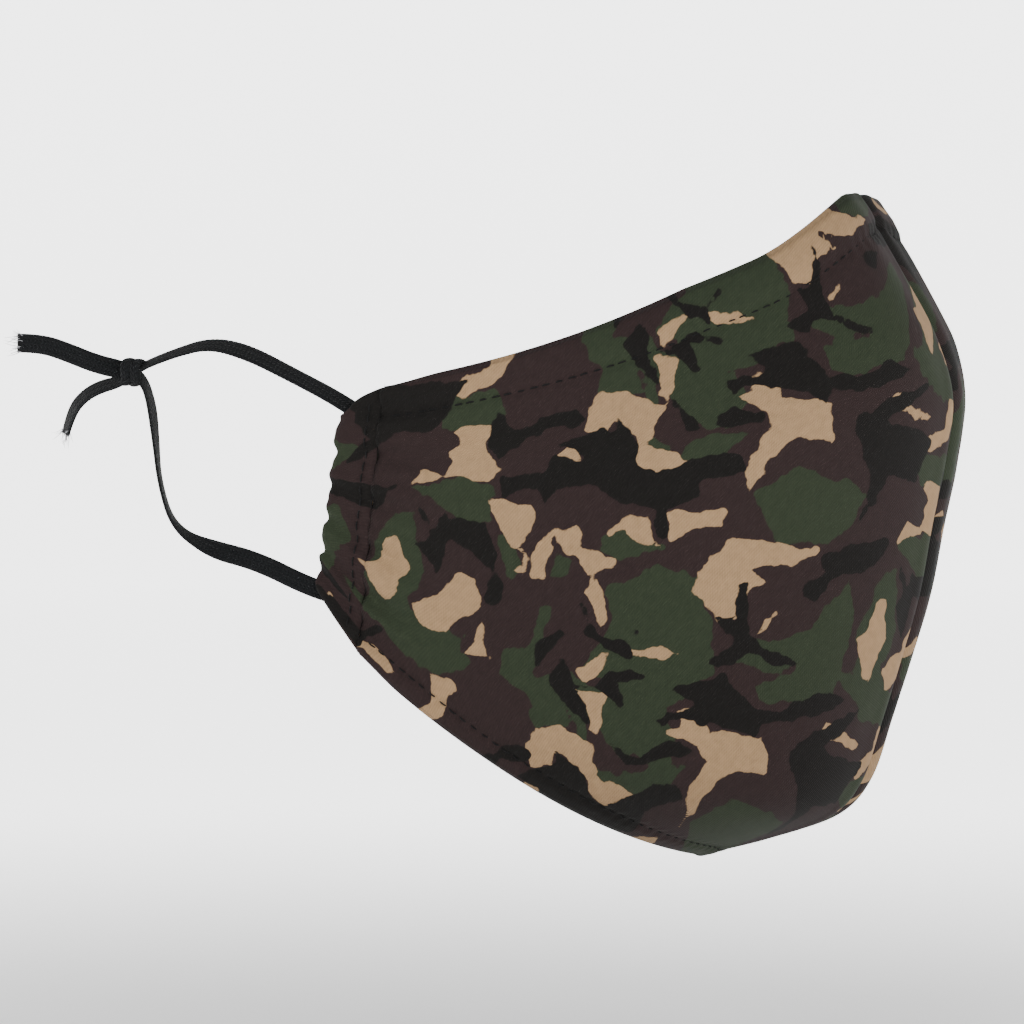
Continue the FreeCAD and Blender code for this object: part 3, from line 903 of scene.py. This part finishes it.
class MASK_OT_stitching(bpy.types.Operator):
    """Add the rows of stitches along the hems and the centre seam"""

    bl_idname = "mask.stitching"
    bl_label = "Stitching"

    def execute(self, context):
        length = 0.80 * sizes().stitch
        for word, side in SIDES.items():
            row = row_on_panel(side, lambda u: 1 - hem_share(u, 1.0), 0.02, 0.985, -0.00008)
            flatten(add_stitches("top_row_" + word, *row, SHELL, "top_stitching_" + word, length))
            row = row_on_panel(side, lambda u: hem_share(u, 0.0), 0.02, 0.985, -0.00008)
            flatten(add_stitches("chin_row_" + word, *row, SHELL, "bottom_stitching_" + word, length))
        v = np.linspace(0.03, 0.93, 62)
        seam = smooth_curve(SEAM, v)
        run = np.gradient(seam, axis=0)
        inward = np.stack([run[:, 1], -run[:, 0]], -1) / np.linalg.norm(run, axis=1, keepdims=True)
        deep = seam + inward * SEAM_ROW_DEPTH
        places = np.stack([np.zeros_like(v), deep[:, 0], deep[:, 1]], -1)
        outs = np.stack([np.zeros_like(v), inward[:, 0], inward[:, 1]], -1)
        flatten(add_stitches("seam_row", places, outs, SHELL, "seam_stitching", length, 0.0003))
        return {"FINISHED"}


# ---------------------------------------------------------------- side casings

def casing_surface(w, v, side):
    """Gathered channel: w runs from the outer gather line round the rear fold to the inner gather line.

    Seen from above the wall is half an oval, its length the sine of the angle and its thickness the cosine.
    Folds ride on it, strongest at the rear fold, which they also make wavy.
    """
    angle = np.pi * w
    front = GATHER_FOOT + (GATHER_TOP - GATHER_FOOT) * v[..., None]
    rear = CASING_FOOT + (CASING_TOP - CASING_FOOT) * v[..., None]
    arch = np.clip(np.sin(angle), 0, 1)
    back = arch ** 0.8
    seed = 1.0 + side
    folds = gather_folds(v, seed)
    place = front + (rear - front) * (back * (1 + 0.055 * folds))[..., None]
    lump = 0.75 + 0.35 * np.sin(2 * np.pi * 6.7 * v + 1.3 * seed) * arch
    half = (0.0009 + 0.0010 * back * lump) * np.cos(angle)
    swell = 0.0007 * folds * (0.35 + 0.65 * np.cos(angle) ** 2) * np.where(w < 0.5, 1, 0.5)
    x = CASING_X + 0.0003 + half + swell
    round_top = 0.0022 * ease(v, 0.93, 1.0) * back ** 3
    points = np.stack([x, place[..., 0] - round_top, place[..., 1] - round_top * 0.4], -1)
    return points * np.array([side, 1, 1])


class MASK_OT_side_casings(bpy.types.Operator):
    """Add the gathered side casings and their stitches"""

    bl_idname = "mask.side_casings"
    bl_label = "Side casings"

    def execute(self, context):
        for word, side in SIDES.items():
            w, v = np.meshgrid(np.linspace(0, 1, 44), np.linspace(0, 1, 190), indexing="ij")
            outer = casing_surface(w, v, side)
            step = 0.003
            inward = np.cross(casing_surface(w + step, v, side) - casing_surface(w - step, v, side),
                              casing_surface(w, v + step, side) - casing_surface(w, v - step, side)) * side
            inward /= np.linalg.norm(inward, axis=-1, keepdims=True)
            inner = outer - inward * sizes().cloth * 0.9
            flat = cloth_place(np.ones_like(v), v) + np.stack([0.022 * w, 0.0 * v], -1)
            body = "side_" + word
            tube = add_sheet("gathered_casing_" + word, outer, inner, material("printed_cloth"), body,
                             flat, print_fields(flat, side), side)
            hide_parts("side_casing_" + word)
            v = np.linspace(0.06, 0.94, 19)
            w = np.full_like(v, 0.055)
            places = casing_surface(w, v, side)
            outs = np.tile(np.array([side, 0.0, 0.0]), (len(v), 1))
            add_stitches("casing_row_" + word, places, outs, body, "casing_stitching_" + word, 0.0021)
            ends = np.array([[CASING_X * side, MOUTH_TOP[0] - CHANNEL_INSET, MOUTH_TOP[1] - 0.001],
                             [CASING_X * side, MOUTH_FOOT[0] - CHANNEL_INSET, MOUTH_FOOT[1] + 0.002]])
            share = np.linspace(0, 1, 60)[:, None]
            line = ends[0] + (ends[1] - ends[0]) * share
            length = np.linalg.norm(ends[1] - ends[0]) * share[:, 0]
            out = np.tile([side, 0.0, 0.0], (60, 1))
            across = np.cross(np.tile((ends[1] - ends[0]) / length[-1], (60, 1)), out)
            band = add_band("channel_elastic_" + word, line, length, across, out, 0.0032, 0.0010, body)
            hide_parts("casing_elastic_" + word)
        return {"FINISHED"}


# ---------------------------------------------------------------- ear loops

def loop_place(points, side):
    """Loop plane to row frame: back from the line of the mouths, turned out by the splay, then up."""
    points = np.asarray(points, float) * MM
    back, height, off = points[..., 0], points[..., 1], points[..., 2]
    lean = (MOUTH_FOOT[0] - MOUTH_TOP[0]) * (MOUTH_TOP[1] - height) / (MOUTH_TOP[1] - MOUTH_FOOT[1])
    behind = back - lean
    splay = sizes().loop_splay
    x = CASING_X + behind * np.sin(splay) + off * np.cos(splay)
    y = MOUTH_TOP[0] + lean + behind * np.cos(splay) - off * np.sin(splay)
    return np.stack([x * side, y, height], -1)


def route_line(name, route, side, spacing):
    """Evenly spaced points of the smooth NURBS line whose control points are the route."""
    curve = bpy.data.curves.new(name + "_route", "CURVE")
    curve.dimensions = "3D"
    curve.resolution_u = 24
    spline = curve.splines.new("NURBS")
    places = loop_place(route, side)
    spline.points.add(len(places) - 1)
    spline.points.foreach_set("co", np.column_stack([places, np.ones(len(places))]).ravel())
    spline.order_u = 3
    spline.use_endpoint_u = True
    holder = bpy.data.objects.new(name + "_route", curve)
    mesh = bpy.data.meshes.new_from_object(holder)
    line = np.empty(len(mesh.vertices) * 3)
    mesh.vertices.foreach_get("co", line)
    line = line.reshape(-1, 3)
    bpy.data.objects.remove(holder)
    bpy.data.meshes.remove(mesh)
    bpy.data.curves.remove(curve)
    length = np.concatenate([[0], np.cumsum(np.linalg.norm(np.diff(line, axis=0), axis=1))])
    even = np.linspace(0, length[-1], int(length[-1] / spacing) + 1)
    return np.stack([np.interp(even, length, line[:, k]) for k in range(3)], -1), even


def band_frames(line, side, twist):
    """Directions across a band and out of its face: the loop's plane turned by the twist about the line."""
    along = np.gradient(line, axis=0)
    along /= np.linalg.norm(along, axis=1, keepdims=True)
    splay = sizes().loop_splay
    out = np.array([side * np.cos(splay), -np.sin(splay), 0.0])
    across = np.cross(along, out)
    across /= np.linalg.norm(across, axis=1, keepdims=True)
    face = np.cross(across, along)
    c, s = np.cos(twist)[:, None], np.sin(twist)[:, None]
    return across * c + face * s, face * c - across * s


def band_mesh(line, length, across, face, width, thick, square):
    """Flat band along a line: its section's sides are powers of the cosine and sine, with a faint rib."""
    turn = np.linspace(0, 2 * np.pi, 20, endpoint=False)
    x = np.sign(np.cos(turn)) * np.abs(np.cos(turn)) ** square
    y = np.sign(np.sin(turn)) * np.abs(np.sin(turn)) ** (square + 0.15)
    rib = 1 + 0.025 * np.sin(2 * np.pi * length / 0.0009)[:, None]
    rows = (line[:, None] + across[:, None] * (x[None] * rib * width / 2)[..., None]
            + face[:, None] * (y * thick / 2)[None, :, None])
    count = len(line)
    ends = np.array([line[0], line[-1]])
    points = np.concatenate([rows.reshape(-1, 3), ends])
    faces = grid_faces(count, 20, wrap=True)
    k = np.arange(20)
    cap_a = np.stack([k, (k + 1) % 20, np.full(20, count * 20), np.full(20, count * 20)], -1)
    cap_b = np.stack([(k + 1) % 20, k, np.full(20, count * 20 + 1), np.full(20, count * 20 + 1)], -1)
    cap_b[:, :2] += (count - 1) * 20
    place = np.stack(np.broadcast_arrays(x[None] * width / 2, length[:, None]), -1)
    uv = np.concatenate([place.reshape(-1, 2), [[0, 0], [0, length[-1]]]])
    return points, faces, (cap_a[:, :3], cap_b[:, :3]), uv


def add_band(name, line, length, across, face, width, thick, body, square=0.45):
    """Band of elastic as one piece, its ends closed by fans."""
    points, quads, caps, uv = band_mesh(line, length, across, face, width, thick, square)
    triangles = np.concatenate([quads[:, [0, 1, 2]], quads[:, [0, 2, 3]], *caps])
    return add_piece(name, points, triangles, material("braided_elastic"), body, uv)


def frayed_end(line, across, face, count, reach, seed):
    """Loose yarns at a cut end: thin three-sided threads that fan out, bend and taper to a point."""
    rng = np.random.default_rng(seed)
    tip = line[-1]
    along = line[-1] - line[-4]
    along /= np.linalg.norm(along)
    half = sizes().elastic_width / 2
    spread = rng.uniform(-1, 1, count)
    start = tip - along * 0.0012 + across[-1] * (spread * half * 0.8)[:, None] + face[-1] * rng.uniform(
        -0.0003, 0.0003, (count, 1))
    aim = (along + across[-1] * (0.35 * spread + rng.normal(0, 0.25, count))[:, None]
           + face[-1] * rng.normal(0, 0.3, (count, 1)))
    curl = rng.normal(0, 0.35, (count, 3))
    long = reach * rng.uniform(0.45, 1.0, count)
    t = np.linspace(0, 1, 6)
    spine = (start[:, None] + aim[:, None] * (t[None] * long[:, None])[..., None]
             + curl[:, None] * (t[None] ** 2 * long[:, None])[..., None])
    turn = np.linspace(0, 2 * np.pi, 3, endpoint=False)
    girth = 0.00011 * (1 - 0.7 * t)
    ring = (across[-1] * np.cos(turn)[:, None] + face[-1] * np.sin(turn)[:, None])
    points = spine[:, :, None] + ring[None, None] * girth[None, :, None, None]
    one = grid_faces(6, 3, wrap=True)
    faces = (one[None] + (np.arange(count) * 18)[:, None, None]).reshape(-1, 4)
    return points.reshape(-1, 3), faces


def knot_line(word, side):
    """Overhand knot's wrap: one and three quarter turns round the strands, 1.9 mm apart.

    Height and distance off the plane are the cosine and sine of the turn, smaller towards both ends.
    """
    count = np.linspace(-0.15, 1.6, 150)
    turn = 2 * np.pi * count
    centre = np.array(LOOPS[word]["knot"])
    back = centre[0] + 1.9 * (count - 0.75) + 0.25 * np.sin(2 * turn)
    height = centre[1] + (2.25 - 0.35 * np.abs(count - 0.75)) * np.cos(turn)
    off = (1.9 - 0.3 * np.abs(count - 0.75)) * np.sin(turn)
    return loop_place(np.stack([back, height, off], -1), side)


def add_knot(word, side):
    """Knot of the ear loop: a wrapped band."""
    body = "ear_loop_" + word
    line = knot_line(word, side)
    length = np.concatenate([[0], np.cumsum(np.linalg.norm(np.diff(line, axis=0), axis=1))])
    centre = loop_place(np.array(LOOPS[word]["knot"]), side)
    along = np.gradient(line, axis=0)
    along /= np.linalg.norm(along, axis=1, keepdims=True)
    face = line - centre
    splay = sizes().loop_splay
    rear = np.array([side * np.sin(splay), np.cos(splay), 0.0])
    face -= (face @ rear)[:, None] * rear
    face /= np.linalg.norm(face, axis=1, keepdims=True)
    across = np.cross(along, face)
    across /= np.linalg.norm(across, axis=1, keepdims=True)
    wrap = add_band("knot_wrap_" + word, line, length, across, face, 0.0022, 0.0015, body, 0.8)
    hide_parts("ear_loop_knot_" + word)
    return wrap


def add_loop_cord(name, word, side, seed):
    """One strand of the ear loop from inside its casing, through the knot, to its frayed tail."""
    body = "ear_loop_" + word
    route = LOOPS[word][name]
    line, length = route_line(name, route, side, 0.00045)
    plan = np.array(TWISTS[name])
    twist = np.interp(length / length[-1], plan[:, 0], plan[:, 1])
    kernel = np.hanning(21) / np.hanning(21).sum()
    twist = np.convolve(np.pad(twist, 10, "edge"), kernel, "valid")
    across, face = band_frames(line, side, twist * side)
    width, thick = sizes().elastic_width, sizes().elastic_thick
    band = add_band(name + "_" + word, line, length, across, face, width, thick, body)
    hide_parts(*[node_name + "_" + word for node_name in REPLACED[name]])
    points, faces = frayed_end(line, across, face, 40, 0.0027, seed)
    fray = add_piece(name + "_fray_" + word, points, faces, material("fibre"), body)
    return band


class MASK_OT_ear_loops(bpy.types.Operator):
    """Add the braided elastic ear loops with their knots and frayed tails"""

    bl_idname = "mask.ear_loops"
    bl_label = "Ear loops"

    def execute(self, context):
        for word, side in SIDES.items():
            knot = add_knot(word, side)
            add_loop_cord("upper_strand", word, side, 5)
            add_loop_cord("lower_strand", word, side, 9)
        return {"FINISHED"}


# ---------------------------------------------------------------- stage

CAMERA_AZIMUTH = np.radians(-70.0)
CAMERA_ELEVATION = np.radians(1.0)
CAMERA_DISTANCE = 0.9
CAMERA_TARGET = np.array((-20.0, -25.0, -4.0)) * MM
CAMERA_LENS = 155.0
FLOOR_RADIUS, WALL_CURVE, FLOOR_DROP = 3.0, 1.6, 0.045
PAINTED_PAPER_GLOW = 2.8                 # painted light: the far floor and wall glow by their own emission, none under the mask


def aim(thing, place, target):
    """Puts a light or camera at a place, looking at a target with its top upwards."""
    thing.location = place
    thing.rotation_euler = (Vector(target) - Vector(place)).to_track_quat("-Z", "Y").to_euler()


def add_area(name, azimuth, elevation, distance, size, power):
    """Soft square light round the mask, aimed at its middle."""
    light = bpy.data.lights.new(name, "AREA")
    light.shape = "SQUARE"
    light.size = size
    light.energy = power
    lamp = bpy.data.objects.new(name, light)
    bpy.context.scene.collection.objects.link(lamp)
    a, e = np.radians(azimuth), np.radians(elevation)
    back = np.array([np.sin(a) * np.cos(e), -np.cos(a) * np.cos(e), np.sin(e)])
    aim(lamp, CAMERA_TARGET + back * distance, CAMERA_TARGET)


def studio_sweep():
    """Round floor that curves up into a wall: its height is a quarter circle's past the flat part."""
    turn = np.linspace(0, 2 * np.pi, 96, endpoint=False)
    angle = np.linspace(0.05, np.pi / 2, 24)
    radius = np.concatenate([np.linspace(0.02, FLOOR_RADIUS, 24), FLOOR_RADIUS + WALL_CURVE * np.sin(angle)])
    height = np.concatenate([np.zeros(24), WALL_CURVE * (1 - np.cos(angle))])
    floor = CAD_BOX[0][2] - FLOOR_DROP
    x = radius[:, None] * np.cos(turn)[None]
    y = radius[:, None] * np.sin(turn)[None]
    z = np.broadcast_to((floor + height)[:, None], x.shape)
    points = np.stack([x, y, z], -1).reshape(-1, 3)
    faces = grid_faces(48, 96, wrap=True)
    mesh = bpy.data.meshes.new("studio_floor")
    mesh.from_pydata(points.tolist(), [], faces.tolist() + [list(range(96))])
    mesh.polygons.foreach_set("use_smooth", np.full(len(mesh.polygons), True))
    return mesh


class MASK_OT_stage(bpy.types.Operator):
    """Add the pale floor, the soft lights and the camera"""

    bl_idname = "mask.stage"
    bl_label = "Stage"

    def execute(self, context):
        floor = bpy.data.objects.new("studio_floor", studio_sweep())
        made, tree, shader = new_material("studio_paper", 0.9)
        shader.inputs["Base Color"].default_value = (0.9, 0.9, 0.9, 1.0)
        # Painted light: the paper emits light that rises from none under the mask to full 0.7 m out. This is
        # a painted bright backdrop, and the floor round the mask stays darker, a painted pool of shade.
        place = node(tree, "ShaderNodeTexCoord").outputs["Object"]
        away = node(tree, "ShaderNodeVectorMath", {"operation": "LENGTH"}, i0=place).outputs["Value"]
        painted_glow = node(tree, "ShaderNodeMapRange", {"interpolation_type": "SMOOTHSTEP"}, i0=away, i1=0.0,
                    i2=0.7, i3=0.0, i4=PAINTED_PAPER_GLOW)
        tree.links.new(painted_glow.outputs[0], shader.inputs["Emission Strength"])
        shader.inputs["Emission Color"].default_value = (1.0, 1.0, 1.0, 1.0)
        floor.data.materials.append(made)
        context.scene.collection.objects.link(floor)
        world = bpy.data.worlds.new("studio_air")
        world.use_nodes = True
        world.node_tree.nodes["Background"].inputs[0].default_value = (1.0, 1.0, 1.0, 1.0)
        world.node_tree.nodes["Background"].inputs[1].default_value = 0.30
        context.scene.world = world
        add_area("key_light", -100, 40, 1.2, 0.9, 6)
        add_area("front_light", -25, 25, 1.3, 0.8, 3)
        camera = bpy.data.objects.new("camera", bpy.data.cameras.new("camera"))
        camera.data.lens = CAMERA_LENS
        camera.data.sensor_width = 36.0
        camera.data.clip_start = 0.01
        a, e = CAMERA_AZIMUTH, CAMERA_ELEVATION
        back = np.array([np.sin(a) * np.cos(e), -np.cos(a) * np.cos(e), np.sin(e)])
        aim(camera, CAMERA_TARGET + back * CAMERA_DISTANCE, CAMERA_TARGET)
        context.scene.collection.objects.link(camera)
        context.scene.camera = camera
        return {"FINISHED"}


# ---------------------------------------------------------------- panel and registration

OPERATORS = (MASK_OT_stage, MASK_OT_ear_loops, MASK_OT_outer_panels, MASK_OT_lining_panels, MASK_OT_hems,
             MASK_OT_seam_allowances, MASK_OT_nose_wire, MASK_OT_stitching, MASK_OT_side_casings)


class MASK_PT_panel(bpy.types.Panel):
    """Lists the mask's settings and the steps that build it"""

    bl_idname = "MASK_PT_panel"
    bl_label = "Face Mask"
    bl_space_type = "VIEW_3D"
    bl_region_type = "UI"
    bl_category = "Face Mask"

    def draw(self, context):
        for group in (context.scene.mask_sizes, context.scene.mask_colours):
            box = self.layout.box()
            for key in group.__annotations__:
                box.prop(group, key)
        for operator in OPERATORS:
            self.layout.operator(operator.bl_idname)


CLASSES = (MaskSizes, MaskColours, *OPERATORS, MASK_PT_panel)


def register():
    """Add the classes and the scene's settings."""
    for one in CLASSES:
        bpy.utils.register_class(one)
    bpy.types.Scene.mask_sizes = bpy.props.PointerProperty(type=MaskSizes)
    bpy.types.Scene.mask_colours = bpy.props.PointerProperty(type=MaskColours)


def unregister():
    """Remove them again."""
    del bpy.types.Scene.mask_colours
    del bpy.types.Scene.mask_sizes
    for one in reversed(CLASSES):
        bpy.utils.unregister_class(one)


def main():
    """Build every piece in order."""
    register()
    bpy.ops.mask.stage()
    bpy.ops.mask.ear_loops()
    bpy.ops.mask.outer_panels()
    bpy.ops.mask.lining_panels()
    bpy.ops.mask.hems()
    bpy.ops.mask.seam_allowances()
    bpy.ops.mask.nose_wire()
    bpy.ops.mask.stitching()
    bpy.ops.mask.side_casings()


if __name__ == "__main__":
    main()
